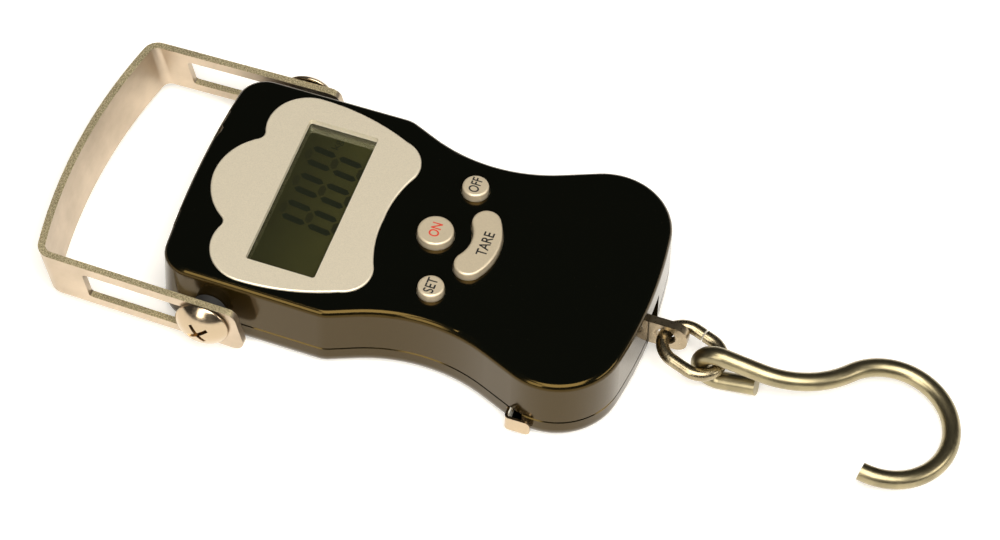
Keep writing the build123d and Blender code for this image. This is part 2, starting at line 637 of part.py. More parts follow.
with BuildPart() as link:
    straight = LINK_HALF_L - LINK_HALF_W
    # the ring is split on its +X side
    with BuildLine(link_plane) as ring:
        Line((0.2, LINK_HALF_W), (straight, LINK_HALF_W))
        ThreePointArc((straight, LINK_HALF_W), (LINK_HALF_L, 0), (straight, -LINK_HALF_W))
        Line((straight, -LINK_HALF_W), (-straight, -LINK_HALF_W))
        ThreePointArc((-straight, -LINK_HALF_W), (-LINK_HALF_L, 0), (-straight, LINK_HALF_W))
        Line((-straight, LINK_HALF_W), (-0.2, LINK_HALF_W))
    with BuildSketch(Plane(origin=ring.line @ 0, z_dir=ring.line % 0)):
        Circle(LINK_R)
    sweep(path=ring.wires()[0])
link.part.label = "link"
export_step(link.part, "parts/link.step")

# ---------------------------------------------------------------- hook
drop = radians(HOOK_DROP)
hook_plane = Plane(origin=EYE, x_dir=(1, 0, 0), z_dir=(0, -sin(drop), cos(drop)))
first_bend_r = ((BEND_L - SHANK_L) ** 2 - BEND_R ** 2) / (2 * BEND_R)
share = first_bend_r / (first_bend_r + BEND_R)
bend_start = (first_bend_r * (1 - share), -SHANK_L - share * (BEND_L - SHANK_L))
first_turn = atan((BEND_L - SHANK_L) / first_bend_r)
half_turn = first_turn / 2
eye_over = radians(20)   # the eye's end turns past half a circle, back to the shank
TAIL_L = 8.0             # straight end of the wire beside the shank


def on_bend(angle):
    """Point on the big bend, by its angle from +X in degrees, in the hook's plane."""
    turn = radians(angle)
    return (BEND_R * cos(turn), -BEND_L + BEND_R * sin(turn), EYE_R)


tail_bend = (0, -EYE_R * sin(eye_over), -EYE_R * cos(eye_over))
tail_end = (0, tail_bend[1] - TAIL_L * cos(eye_over), tail_bend[2] + TAIL_L * sin(eye_over))

with BuildPart() as hook:
    with BuildLine(hook_plane) as wire:
        Line(tail_end, tail_bend)
        ThreePointArc(tail_bend, (0, EYE_R, 0), (0, 0, EYE_R))
        Line((0, 0, EYE_R), (0, -SHANK_L, EYE_R))
        first_mid = (first_bend_r * (1 - cos(half_turn)), -SHANK_L - first_bend_r * sin(half_turn), EYE_R)
        ThreePointArc((0, -SHANK_L, EYE_R), first_mid, (*bend_start, EYE_R))
        ThreePointArc(on_bend(degrees(first_turn)), on_bend(-90), on_bend(-TIP_ANGLE))
    with BuildSketch(Plane(origin=wire.line @ 0, z_dir=wire.line % 0)):
        Circle(HOOK_R)
    sweep(path=wire.wires()[0])
hook.part.label = "hook"
export_step(hook.part, "parts/hook.step")

# ---------------------------------------------------------------- measuring tape
with BuildPart() as tape_axle:
    with BuildSketch(Plane.XY.offset(0.6)):
        with Locations((REEL_X, REEL_Y)):
            Circle(1.5)
    extrude(amount=9.4)
tape_axle.part.label = "tape_axle"
export_step(tape_axle.part, "parts/tape_axle.step")

with BuildPart() as tape_reel:
    with Locations((REEL_X, REEL_Y, 0)):
        for low, high, radius in ((1.65, 6.6, HUB_R), (1.65, 2.05, REEL_R), (6.1, 9.4, REEL_R)):
            with Locations((0, 0, (low + high) / 2)):
                Cylinder(radius, high - low)
        with Locations((0, 0, 6.6 + 2)):
            Cylinder(REEL_R - 0.7, 4, mode=Mode.SUBTRACT)
        Cylinder(1.56, 40, mode=Mode.SUBTRACT)
tape_reel.part.label = "tape_reel"
export_step(tape_reel.part, "parts/tape_reel.step")

with BuildPart() as tape_coil:
    with BuildSketch(Plane.XY.offset(BLADE_Z - 0.1)):
        with Locations((REEL_X, REEL_Y)):
            Circle(COIL_R)
            Circle(HUB_R, mode=Mode.SUBTRACT)
    extrude(amount=BLADE_W + 0.15)
tape_coil.part.label = "tape_coil"
export_step(tape_coil.part, "parts/tape_coil.step")

with BuildPart() as tape_spring:
    with BuildSketch(Plane.XY.offset(6.9)):
        with Locations((REEL_X, REEL_Y)):
            Circle(REEL_R - 1.0)
            Circle(1.5, mode=Mode.SUBTRACT)
    extrude(amount=2.0)
tape_spring.part.label = "tape_spring"
export_step(tape_spring.part, "parts/tape_spring.step")

with BuildPart() as reel_clip:
    with BuildSketch(Plane.XY.offset(9.1)):
        with Locations((REEL_X, REEL_Y)):
            Circle(3.0)
            Circle(1.5, mode=Mode.SUBTRACT)
    extrude(amount=0.5)
reel_clip.part.label = "reel_clip"
export_step(reel_clip.part, "parts/reel_clip.step")

BLADE_Y = REEL_Y + COIL_R + 0.05          # side of the blade that faces the coil
LEG_Y = BLADE_Y + BLADE_T + 0.3           # middle of the tab's leg
TAB_T = 0.6
RIVET = (-27.3, BLADE_Z + BLADE_W / 2)
with BuildPart() as tape_blade:
    block((TAB_X + 1, BLADE_Y, BLADE_Z), (REEL_X, BLADE_Y + BLADE_T, BLADE_Z + BLADE_W))
    with BuildSketch(Plane.XZ.offset(-BLADE_Y - 2)):
        with Locations(RIVET):
            Circle(0.65)
    extrude(amount=4, mode=Mode.SUBTRACT)
tape_blade.part.label = "tape_blade"
export_step(tape_blade.part, "parts/tape_blade.step")

with BuildPart() as tape_tab:
    with BuildSketch(Plane.XY.offset(1.75)):
        with BuildLine() as tab_line:
            FilletPolyline((-25.6, LEG_Y), (TAB_X, LEG_Y), (TAB_X, -35.3), radius=0.8)
        trace(tab_line.line, line_width=TAB_T)
    extrude(amount=3.9)
    far_end = tape_tab.edges().filter_by(Axis.X).group_by(Axis.Y)[0]
    fillet(far_end, 1.2)
    with BuildSketch(Plane.XZ.offset(-BLADE_Y - 2)):
        with Locations(RIVET):
            Circle(0.65)
    extrude(amount=4, mode=Mode.SUBTRACT)
tape_tab.part.label = "tape_tab"
export_step(tape_tab.part, "parts/tape_tab.step")

with BuildPart() as tape_rivet:
    with BuildSketch(Plane.XZ.offset(-LEG_Y - TAB_T / 2 - 0.15)):
        with Locations(RIVET):
            Circle(0.65)
    extrude(amount=BLADE_T + TAB_T + 0.3)
tape_rivet.part.label = "tape_rivet"
export_step(tape_rivet.part, "parts/tape_rivet.step")

# ---------------------------------------------------------------- batteries and contacts
NUB_L = 1.2
for side, side_name in ((1, "right"), (-1, "left")):
    # the two cells point opposite ways, so each has its nub on a different contact
    nub_y = BAY_HIGH_Y if side > 0 else BAY_LOW_Y
    cell_plane = Plane((side * CELL_X, nub_y, CELL_Z), x_dir=(1, 0, 0), z_dir=(0, -side, 0))
    with BuildPart() as battery_cell:
        with BuildSketch(cell_plane):
            Circle(1.9)
        extrude(amount=CELL_L)
        with BuildSketch(cell_plane.offset(NUB_L)):
            Circle(CELL_R)
        extrude(amount=CELL_L - NUB_L)
    battery_cell.part.label = f"battery_cell_{side_name}"
    export_step(battery_cell.part, f"parts/battery_cell_{side_name}.step")

with BuildPart() as battery_contacts:
    for side in (-1, 1):
        for y in (BAY_LOW_Y - 0.4, BAY_HIGH_Y):
            block((side * CELL_X - 4.5, y, 3.0), (side * CELL_X + 4.5, y + 0.4, 12.0))
battery_contacts.part.label = "battery_contacts"
export_step(battery_contacts.part, "parts/battery_contacts.step")

with BuildPart() as battery_springs:
    for side in (-1, 1):
        flat_y = BAY_LOW_Y if side > 0 else BAY_HIGH_Y
        spring_plane = Plane((side * CELL_X, flat_y, CELL_Z), x_dir=(1, 0, 0), z_dir=(0, side, 0))
        with BuildSketch(spring_plane):
            Circle(3.2)
            Circle(2.6, mode=Mode.SUBTRACT)
        extrude(amount=BAY_HIGH_Y - BAY_LOW_Y - CELL_L)
battery_springs.part.label = "battery_springs"
export_step(battery_springs.part, "parts/battery_springs.step")
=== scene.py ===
"""Looks of the digital fish scale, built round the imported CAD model. Metres, in the CAD frame."""
import math

import bmesh
import bpy
from mathutils import Matrix, Quaternion, Vector


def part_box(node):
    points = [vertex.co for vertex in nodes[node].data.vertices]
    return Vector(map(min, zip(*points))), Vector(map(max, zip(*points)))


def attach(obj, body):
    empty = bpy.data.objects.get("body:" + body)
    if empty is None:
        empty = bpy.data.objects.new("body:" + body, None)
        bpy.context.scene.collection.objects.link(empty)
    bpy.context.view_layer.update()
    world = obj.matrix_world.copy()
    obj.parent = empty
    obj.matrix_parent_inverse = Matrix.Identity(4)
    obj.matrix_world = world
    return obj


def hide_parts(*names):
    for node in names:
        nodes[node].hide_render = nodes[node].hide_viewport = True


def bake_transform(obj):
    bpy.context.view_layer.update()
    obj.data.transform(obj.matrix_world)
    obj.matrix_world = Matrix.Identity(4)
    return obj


MM = 0.001
X, Y, Z = 0, 1, 2      # axis numbers, for the outputs of a Separate XYZ node

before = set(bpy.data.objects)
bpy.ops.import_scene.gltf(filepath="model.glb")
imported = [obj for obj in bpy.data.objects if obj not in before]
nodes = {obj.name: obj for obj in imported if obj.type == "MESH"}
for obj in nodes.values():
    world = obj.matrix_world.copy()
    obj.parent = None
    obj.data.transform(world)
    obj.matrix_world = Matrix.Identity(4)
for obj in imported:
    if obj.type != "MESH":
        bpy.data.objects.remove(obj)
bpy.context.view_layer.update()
scene = bpy.context.scene


# ---------------------------------------------------------------- node helpers
class Finish:
    """A Principled material and short calls that add procedural detail to it."""

    def __init__(self, name, color, metallic=0.0, roughness=0.5, **sockets):
        self.mat = bpy.data.materials.new(name)
        self.mat.use_nodes = True
        self.tree = self.mat.node_tree
        self.shader = self.tree.nodes["Principled BSDF"]
        self.put(self.shader, "Base Color", (*color, 1))
        self.put(self.shader, "Metallic", metallic)
        self.put(self.shader, "Roughness", roughness)
        for socket, value in sockets.items():
            self.put(self.shader, socket.replace("_", " "), value)
        self.coords = self.tree.nodes.new("ShaderNodeTexCoord")

    @staticmethod
    def put(node, socket, value):
        node.inputs[socket].default_value = value

    def link(self, out, socket):
        self.tree.links.new(out, socket)

    def stretched(self, scale):
        """Object coordinates in metres, scaled separately along X, Y and Z."""
        mapping = self.tree.nodes.new("ShaderNodeMapping")
        self.put(mapping, "Scale", scale)
        self.link(self.coords.outputs["Object"], mapping.inputs["Vector"])
        return mapping.outputs["Vector"]

    def noise(self, scale, detail=3.0, stretch=(1, 1, 1)):
        node = self.tree.nodes.new("ShaderNodeTexNoise")
        self.put(node, "Scale", scale)
        self.put(node, "Detail", detail)
        self.link(self.stretched(stretch), node.inputs["Vector"])
        return node.outputs["Fac"]

    def cells(self, scale):
        node = self.tree.nodes.new("ShaderNodeTexVoronoi")
        self.put(node, "Scale", scale)
        self.link(self.stretched((1, 1, 1)), node.inputs["Vector"])
        return node.outputs["Color"]

    def ramp(self, fac, low, high, out_low=0.0, out_high=1.0):
        """Maps low..high to out_low..out_high, and stays level outside."""
        node = self.tree.nodes.new("ShaderNodeMapRange")
        self.put(node, "From Min", low)
        self.put(node, "From Max", high)
        self.put(node, "To Min", out_low)
        self.put(node, "To Max", out_high)
        self.link(fac, node.inputs["Value"])
        return node.outputs["Result"]

    def mix(self, fac, first, second):
        """Colour mix; first and second are colours or sockets."""
        node = self.tree.nodes.new("ShaderNodeMix")
        node.data_type = "RGBA"
        self.link(fac, node.inputs["Factor"])
        for value, socket in ((first, node.inputs[6]), (second, node.inputs[7])):
            if isinstance(value, tuple):
                socket.default_value = (*value, 1)
            else:
                self.link(value, socket)
        return node.outputs[2]

    def math(self, operation, first, second):
        node = self.tree.nodes.new("ShaderNodeMath")
        node.operation = operation
        for value, socket in ((first, node.inputs[0]), (second, node.inputs[1])):
            if isinstance(value, (int, float)):
                socket.default_value = value
            else:
                self.link(value, socket)
        return node.outputs[0]

    def part_of(self, axis):
        """Object coordinate along one axis, in metres."""
        node = self.tree.nodes.new("ShaderNodeSeparateXYZ")
        self.link(self.coords.outputs["Object"], node.inputs[0])
        return node.outputs[axis]

    def facing(self, axis):
        """How far the surface faces along one object axis, 0 to 1, on either side."""
        node = self.tree.nodes.new("ShaderNodeSeparateXYZ")
        self.link(self.coords.outputs["Normal"], node.inputs[0])
        return self.math("ABSOLUTE", node.outputs[axis], 0)

    def color(self, socket):
        self.link(socket, self.shader.inputs["Base Color"])
        return self

    def roughness(self, fac, low, high):
        """Roughness from low to high over the middle values of fac."""
        self.link(self.ramp(fac, 0.3, 0.7, low, high), self.shader.inputs["Roughness"])
        return self

    def bump(self, *layers):
        """Bump layers as (height socket, depth in metres)."""
        normal = None
        for height, depth in layers:
            node = self.tree.nodes.new("ShaderNodeBump")
            self.put(node, "Distance", depth)
            self.link(height, node.inputs["Height"])
            if normal is not None:
                self.link(normal, node.inputs["Normal"])
            normal = node.outputs["Normal"]
        self.link(normal, self.shader.inputs["Normal"])
        return self


# ---------------------------------------------------------------- materials
def moulded_black():
    """Glossy black plastic with a warm shine, and a painted reflection of the floor that makes the side walls
    a trace browner than the top.
    """
    black = (0.0009, 0.0018, 0.0016)
    # this brown is a painted reflection of the pale floor, not a colour of the plastic
    floor_reflection_brown = (0.011, 0.0065, 0.001)
    f = Finish("moulded_black", black, roughness=0.16, Specular_Tint=(1.0, 0.66, 0.2, 1), IOR=1.5)
    # painted reflection: the mask browns the side walls, which face away from Z, as if they mirrored the
    # floor
    side = f.ramp(f.facing(Z), 0.75, 0.3)
    broad = f.noise(90, 4)
    dust = f.ramp(f.noise(2600, 2), 0.74, 0.8)
    speck = (0.016, 0.013, 0.009)
    f.color(f.mix(dust, f.mix(side, black, floor_reflection_brown), speck))
    f.roughness(f.noise(420, 5), 0.13, 0.16)
    return f.bump((broad, 0.000014), (f.noise(1400, 2), 0.000002)).mat


def silver_paint(name, tint, fleck):
    """Satin paint with a fine metal fleck."""
    f = Finish(name, tint, metallic=0.55, roughness=0.45, Coat_Weight=0.1, Coat_Roughness=0.25)
    bright = tuple(min(1, c * (1 + fleck)) for c in tint)
    dark = tuple(c * (1 - fleck) for c in tint)
    f.color(f.mix(f.cells(6500), dark, bright))
    f.roughness(f.noise(5200, 2), 0.4, 0.54)
    return f.bump((f.noise(5200, 2), 0.000005)).mat


def brushed_strip():
    """Rolled steel strip: smooth faces, and rough cut edges with bright grains."""
    f = Finish("brushed_strip", (0.6, 0.52, 0.41), metallic=1.0, roughness=0.34)
    edge = f.ramp(f.facing(Z), 0.75, 0.92)
    streaks = f.noise(1, 4, (140, 140, 5200))
    stain = f.ramp(f.noise(120, 5), 0.35, 0.7)
    face = f.mix(stain, (0.56, 0.46, 0.35), (0.43, 0.35, 0.26))
    grain = f.noise(3200, 4)
    cut = f.mix(f.ramp(grain, 0.36, 0.62), (0.42, 0.34, 0.19), (0.86, 0.77, 0.52))
    f.color(f.mix(edge, face, cut))
    edge_roughness = 0.26
    rough = f.math("ADD", f.ramp(streaks, 0.3, 0.7, 0.3, 0.4), f.math("MULTIPLY", edge, edge_roughness))
    f.link(rough, f.shader.inputs["Roughness"])
    edge_grain = f.math("MULTIPLY", grain, edge)
    return f.bump((streaks, 0.000004), (edge_grain, 0.00007)).mat


def drawn_wire(name, tint, low, high):
    """Polished wire with small pits and a slow change of tone."""
    f = Finish(name, tint, metallic=1.0, roughness=low)
    wear = f.noise(200, 4)
    pits = f.noise(2400, 3)
    dark = tuple(c * 0.72 for c in tint)
    f.color(f.mix(f.ramp(wear, 0.42, 0.7), tint, dark))
    return f.roughness(pits, low, high).bump((pits, 0.000004), (wear, 0.00001)).mat


def plated(name, tint, low, high):
    """Plated metal with fine scuffs."""
    f = Finish(name, tint, metallic=1.0, roughness=low)
    scuff = f.noise(900, 4)
    return f.roughness(scuff, low, high).bump((scuff, 0.000012)).mat


def plain_metal(name, tint, roughness):
    """Bare metal with streaks along Y."""
    f = Finish(name, tint, metallic=1.0, roughness=roughness)
    streaks = f.noise(1, 3, (2600, 120, 2600))
    return f.roughness(streaks, roughness - 0.06, roughness + 0.08).bump((streaks, 0.000008)).mat


def plain_plastic(name, tint, roughness, grain=1200):
    """One colour with a fine grain, for plastic, rubber, ink and film."""
    f = Finish(name, tint, roughness=roughness)
    texture = f.noise(grain, 3)
    shade = tuple(c * 0.82 for c in tint)
    f.color(f.mix(texture, tint, shade))
    return f.roughness(texture, roughness - 0.05, roughness + 0.06).bump((texture, 0.00001)).mat


def display_back():
    """Unlit liquid crystal: olive, clouded, with painted shade that darkens it towards the handle."""
    f = Finish("display_back", (0.05, 0.05, 0.024), roughness=0.35)
    # painted shade: the panel's colour darkens towards the handle end, standing in for the bezel's shadow
    # there
    handle_end_painted_shade = f.ramp(f.part_of(Y), 17.5 * MM, 32.5 * MM)
    cloud = f.noise(140, 3)
    base = f.mix(handle_end_painted_shade, (0.115, 0.102, 0.041), (0.047, 0.043, 0.019))
    f.color(f.mix(f.ramp(cloud, 0.35, 0.75, 0, 0.4), base, (0.07, 0.066, 0.03)))
    return f.bump((f.noise(4000, 2), 0.000003)).mat


def clear_pane():
    """Thin clear window: passes light and mirrors what it meets at a low angle."""
    mat = bpy.data.materials.new("clear_pane")
    mat.use_nodes = True
    tree = mat.node_tree
    tree.nodes.remove(tree.nodes["Principled BSDF"])
    clear = tree.nodes.new("ShaderNodeBsdfTransparent")
    clear.inputs["Color"].default_value = (0.86, 0.88, 0.8, 1)
    shine = tree.nodes.new("ShaderNodeBsdfGlossy")
    shine.inputs["Roughness"].default_value = 0.04
    fresnel = tree.nodes.new("ShaderNodeFresnel")
    fresnel.inputs["IOR"].default_value = 1.49
    mix = tree.nodes.new("ShaderNodeMixShader")
    tree.links.new(fresnel.outputs[0], mix.inputs[0])
    tree.links.new(clear.outputs[0], mix.inputs[1])
    tree.links.new(shine.outputs[0], mix.inputs[2])
    tree.links.new(mix.outputs[0], tree.nodes["Material Output"].inputs["Surface"])
    return mat


def solder_mask():
    """Green board lacquer, lighter and raised over the tracks."""
    green = (0.012, 0.09, 0.035)
    f = Finish("solder_mask", green, roughness=0.3, Coat_Weight=0.3)
    tracks = f.ramp(f.noise(1, 2, (900, 180, 900)), 0.5, 0.54)
    f.color(f.mix(tracks, green, (0.02, 0.14, 0.055)))
    return f.bump((tracks, 0.00003)).mat


def cell_jacket():
    """Battery sleeve in two plain bands."""
    black, copper = (0.02, 0.02, 0.022), (0.55, 0.33, 0.1)
    f = Finish("cell_jacket", black, metallic=0.4, roughness=0.28)
    band = f.ramp(f.part_of(Y), 15.0 * MM, 15.3 * MM)
    f.color(f.mix(band, black, copper))
    return f.roughness(f.noise(500, 3), 0.24, 0.34).bump((f.noise(500, 3), 0.00001)).mat


def tape_face():
    """White enamel with a tick at each millimetre and a longer one at each centimetre."""
    enamel, ink = (0.62, 0.6, 0.52), (0.02, 0.02, 0.02)
    f = Finish("tape_face", enamel, roughness=0.32, Coat_Weight=0.3)
    x, z = f.part_of(X), f.part_of(Z)
    ticks = []
    for pitch, share, top in ((1 * MM, 0.16, 3.4 * MM), (10 * MM, 0.03, 4.4 * MM)):
        line = f.math("LESS_THAN", f.math("FRACT", f.math("DIVIDE", x, pitch), 0), share)
        ticks.append(f.math("MULTIPLY", line, f.math("LESS_THAN", z, top)))
    f.color(f.mix(f.math("MAXIMUM", *ticks), enamel, ink))
    return f.bump((f.noise(900, 2), 0.000008)).mat


BLACK = moulded_black()
BEZEL_SILVER = silver_paint("bezel_silver", (0.92, 0.83, 0.65), 0.07)
KEY_SILVER = silver_paint("key_silver", (0.76, 0.65, 0.47), 0.06)
STRIP = brushed_strip()
WIRE = drawn_wire("hook_wire", (0.35, 0.3, 0.18), 0.28, 0.36)
LINK_WIRE = drawn_wire("link_wire", (0.36, 0.3, 0.19), 0.22, 0.32)
STRAP_METAL = drawn_wire("strap_metal", (0.46, 0.37, 0.25), 0.26, 0.36)
NICKEL = plated("nickel", (0.48, 0.38, 0.26), 0.14, 0.26)
DARK_ZINC = plated("dark_zinc", (0.22, 0.22, 0.23), 0.25, 0.4)
BRIGHT_STEEL = plain_metal("bright_steel", (0.55, 0.54, 0.52), 0.3)
ALUMINIUM = plain_metal("machined_aluminium", (0.7, 0.7, 0.71), 0.32)
NYLON = plain_plastic("nylon", (0.72, 0.7, 0.64), 0.45)
RUBBER = plain_plastic("black_rubber", (0.02, 0.02, 0.02), 0.7)
EPOXY = plain_plastic("black_epoxy", (0.014, 0.014, 0.015), 0.42)
GREY_PLASTIC = plain_plastic("grey_plastic", (0.1, 0.1, 0.105), 0.4)
GAUGE = plain_plastic("gauge_film", (0.5, 0.26, 0.06), 0.25)
LEAD = plain_plastic("red_insulation", (0.4, 0.02, 0.015), 0.4)
INK_BLACK = plain_plastic("black_ink", (0.012, 0.012, 0.012), 0.5, 4000)
INK_RED = plain_plastic("red_ink", (0.62, 0.05, 0.025), 0.5, 4000)
LCD_INK = plain_plastic("display_ink", (0.022, 0.026, 0.016), 0.4, 3000)
LCD_GHOST = plain_plastic("display_ghost", (0.048, 0.045, 0.022), 0.4, 3000)
LCD = display_back()
PANE = clear_pane()
BOARD = solder_mask()
JACKET = cell_jacket()
TAPE = tape_face()

NODE_FINISH = {
    BLACK: ["front_shell", "rear_shell", "battery_door"],
    BEZEL_SILVER: ["display_bezel"],
    KEY_SILVER: ["on_key", "off_key", "set_key", "tare_key"],
    STRIP: ["handle"],
    WIRE: ["hook"],
    LINK_WIRE: ["link"],
    STRAP_METAL: ["hook_strap"],
    NICKEL: ["tape_tab", "tape_rivet", "handle_screw_left", "handle_screw_right", "battery_contacts"],
    DARK_ZINC: ["case_screws", "board_screws", "cell_screws"],
    BRIGHT_STEEL: ["hanger_bar", "strap_pin", "tape_axle", "reel_clip", "on_switch", "off_switch",
                   "set_switch", "tare_switch", "battery_springs", "tape_spring"],
    ALUMINIUM: ["load_cell"],
    NYLON: ["slot_sleeves"],
    RUBBER: ["handle_spacer_left", "handle_spacer_right", "lcd_connector",
             "on_plunger", "off_plunger", "set_plunger", "tare_plunger"],
    EPOXY: ["board_chip", "board_parts"],
    GREY_PLASTIC: ["tape_reel"],
    GAUGE: ["strain_gauges"],
    LEAD: ["gauge_leads"],
    LCD: ["lcd_panel"],
    PANE: ["lcd_window"],
    BOARD: ["main_board"],
    JACKET: ["battery_cell_left", "battery_cell_right"],
    TAPE: ["tape_coil", "tape_blade"],
}
for finish, names in NODE_FINISH.items():
    for node_name in names:
        nodes[node_name].data.materials.clear()
        nodes[node_name].data.materials.append(finish)


# ---------------------------------------------------------------- mesh helpers
def mesh_of(name, bm):
    mesh = bpy.data.meshes.new(name)
    bm.to_mesh(mesh)
    bm.free()
    return mesh


def add_object(name, data, material=None):
    if material is not None:
        data.materials.append(material)
    obj = bpy.data.objects.new(name, data)
    scene.collection.objects.link(obj)
    return obj


def new_piece(name, bm, material, body, replaces=(), smooth_angle=40):
    """Object from a bmesh, shaded smooth below smooth_angle, riding on a CAD body."""
    bm.normal_update()
    for edge in bm.edges:
        edge.smooth = not edge.is_manifold or edge.calc_face_angle(0) < math.radians(smooth_angle)
    for face in bm.faces:
        face.smooth = True
    obj = add_object(name, mesh_of(name, bm), material)
    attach(obj, body)
    if replaces:
        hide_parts(*replaces)


def round_edges(node_name, width):
    """Breaks the sharp edges of a CAD node."""
    bevel = nodes[node_name].modifiers.new("broken_edges", "BEVEL")
    bevel.width = width
    bevel.segments = 2
    bevel.limit_method = "ANGLE"
    bevel.angle_limit = math.radians(35)
    bevel.harden_normals = False


def join_rings(bm, first, second):
    """Faces between two rings of the same number of vertices."""
    count = len(first)
    for k in range(count):
        j = (k + 1) % count
        bm.faces.new((first[k], first[j], second[j], second[k]))


def flat_shape(bm, outline, z, thickness):
    """Thin plate from an outline of x, y points."""
    low = [bm.verts.new((x, y, z)) for x, y in outline]
    high = [bm.verts.new((x, y, z + thickness)) for x, y in outline]
    bm.faces.new(list(reversed(low)))
    bm.faces.new(high)
    join_rings(bm, low, high)


def lettering(name, text, centre, width, height, material, body, bold=0.0):
    """Flat raised text that reads along +X, fitted to a width and a cap height, in metres."""
    depth_share = 0.001      # the curve is this much thinner after fitting
    curve = bpy.data.curves.new(name, "FONT")
    curve.body = text
    curve.align_x = "CENTER"
    curve.resolution_u = 6
    curve.offset = bold
    curve.extrude = 0.01
    obj = add_object(name, curve)
    bpy.context.view_layer.update()
    shape = obj.evaluated_get(bpy.context.evaluated_depsgraph_get())
    mesh = bpy.data.meshes.new_from_object(shape)
    bpy.data.objects.remove(obj)
    xs = [v.co.x for v in mesh.vertices]
    ys = [v.co.y for v in mesh.vertices]
    middle = Vector(((min(xs) + max(xs)) / 2, (min(ys) + max(ys)) / 2, 0))
    scale = Matrix.Diagonal((width / (max(xs) - min(xs)), height / (max(ys) - min(ys)), depth_share, 1))
    mesh.transform(Matrix.Translation(centre) @ scale @ Matrix.Translation(-middle))
    piece = add_object(name, mesh, material)
    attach(piece, body)


def ring_of(path_point, across, up, radius, sides):
    """Circle of points round path_point."""
    return [path_point + across * radius * math.cos(a) + up * radius * math.sin(a)
            for a in (2 * math.pi * k / sides for k in range(sides))]


def tube(bm, points, radius, sides=12):
    """Round wire through the points, closed at both ends."""
    previous = None
    up = Vector((0, 0, 1))
    for i, point in enumerate(points):
        ahead = points[min(i + 1, len(points) - 1)] - points[max(i - 1, 0)]
        across = ahead.cross(up).normalized()
        up = across.cross(ahead).normalized()
        ring = [bm.verts.new(p) for p in ring_of(point, across, up, radius, sides)]
        if previous:
            join_rings(bm, previous, ring)
        else:
            bm.faces.new(list(reversed(ring)))
        previous = ring
    bm.faces.new(previous)


for steel_part, broken in (("handle", 0.22), ("hook_strap", 0.25), ("hook", 0.35), ("hanger_bar", 0.15),
                           ("load_cell", 0.15), ("tape_tab", 0.1), ("battery_contacts", 0.08)):
    round_edges(steel_part, broken * MM)


# ---------------------------------------------------------------- display and legends
def display_digits():
    """Three leaning seven-segment noughts under the window; the bars across them show only faintly."""
    panel_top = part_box("lcd_panel")[1].z
    first_x, foot_y, pitch = -6.3 * MM, 18.1 * MM, 7.75 * MM
    digit_h, digit_w, lean = 12.4 * MM, 3.85 * MM, 0.125
    stroke, gap = 1.5 * MM, 0.35 * MM
    lift, thickness = 0.01 * MM, 0.02 * MM
    half_h, tip = digit_h / 2, stroke / 2

    def leaned(points):
        return [(x + lean * (y - foot_y), y) for x, y in points]

    bars, ghosts = bmesh.new(), bmesh.new()
    for digit in range(3):
        x0 = first_x + digit * pitch
        for x in (x0, x0 + digit_w):
            for y in (foot_y, foot_y + half_h):
                low, high = y + gap, y + half_h - gap
                outline = [(x, low), (x + tip, low + tip), (x + tip, high - tip),
                           (x, high), (x - tip, high - tip), (x - tip, low + tip)]
                flat_shape(bars, leaned(outline), panel_top + lift, thickness)
        for y in (foot_y, foot_y + half_h, foot_y + digit_h):
            low, high = x0 + gap, x0 + digit_w - gap
            outline = [(low, y), (low + tip, y - tip), (high - tip, y - tip),
                       (high, y), (high - tip, y + tip), (low + tip, y + tip)]
            flat_shape(ghosts, leaned(outline), panel_top + lift, thickness / 2)
    new_piece("display_digits", bars, LCD_INK, "case")
    new_piece("display_ghost_bars", ghosts, LCD_GHOST, "case")
    lettering("display_unit", "kg", Vector((17.0 * MM, 25.4 * MM, panel_top + 0.02 * MM)),
              2.6 * MM, 2.2 * MM, LCD_INK, "case")


def key_legends():
    """Plain words on the keys, as (ink, centre x, centre y, width) in millimetres."""
    legends = {"on": (INK_RED, 0.0, -2.9, 3.7), "off": (INK_BLACK, 14.3, -6.9, 3.9),
               "set": (INK_BLACK, -14.2, -6.9, 3.9), "tare": (INK_BLACK, 0.1, -14.1, 6.4)}
    cap_height, lift = 2.3 * MM, 0.01 * MM
    for key, (ink, x, y, width) in legends.items():
        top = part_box(f"{key}_key")[1].z
        lettering(f"legend_{key}", key.upper(), Vector((x * MM, y * MM, top + lift)), width * MM, cap_height,
                  ink, f"{key}_key", bold=0.012)


display_digits()
key_legends()


# ---------------------------------------------------------------- handle screws
def lathe(bm, profile, sides=64):
    """Solid of revolution about Z from (radius, z) points that start and end on the axis."""
    turns = [2 * math.pi * k / sides for k in range(sides)]
    rings = []
    for radius, z in profile:
        if radius < 1e-9:
            rings.append([bm.verts.new((0, 0, z))])
        else:
            rings.append([bm.verts.new((radius * math.cos(a), radius * math.sin(a), z)) for a in turns])
    for low, high in zip(rings, rings[1:]):
        for k in range(sides):
            j = (k + 1) % sides
            if len(low) == 1:
                bm.faces.new((low[0], high[j], high[k]))
            elif len(high) == 1:
                bm.faces.new((low[k], low[j], high[0]))
            else:
                bm.faces.new((low[k], low[j], high[j], high[k]))


def cross_cutter(reach, width, depth, top, turn):
    """Tapered cross that cuts the driver recess of a screw whose head faces +Z."""
    floor = (top - depth, reach * 0.45, width * 0.36)
    middle = (top - depth * 0.55, reach * 0.8, width * 0.45)
    above = (top + 1 * MM, reach * 1.1, width * 0.62)
    corners = ((-1, -1), (1, -1), (1, 1), (-1, 1))
    bm = bmesh.new()
    for quarter in (0, math.pi / 2):
        spin = Matrix.Rotation(turn + quarter, 4, "Z")
        layers = [[bm.verts.new(spin @ Vector((x * along, y * across, z))) for x, y in corners]
                  for z, along, across in (floor, middle, above)]
        bm.faces.new(list(reversed(layers[0])))
        bm.faces.new(layers[-1])
        for low, high in zip(layers, layers[1:]):
            join_rings(bm, low, high)
    return mesh_of("cutter", bm)


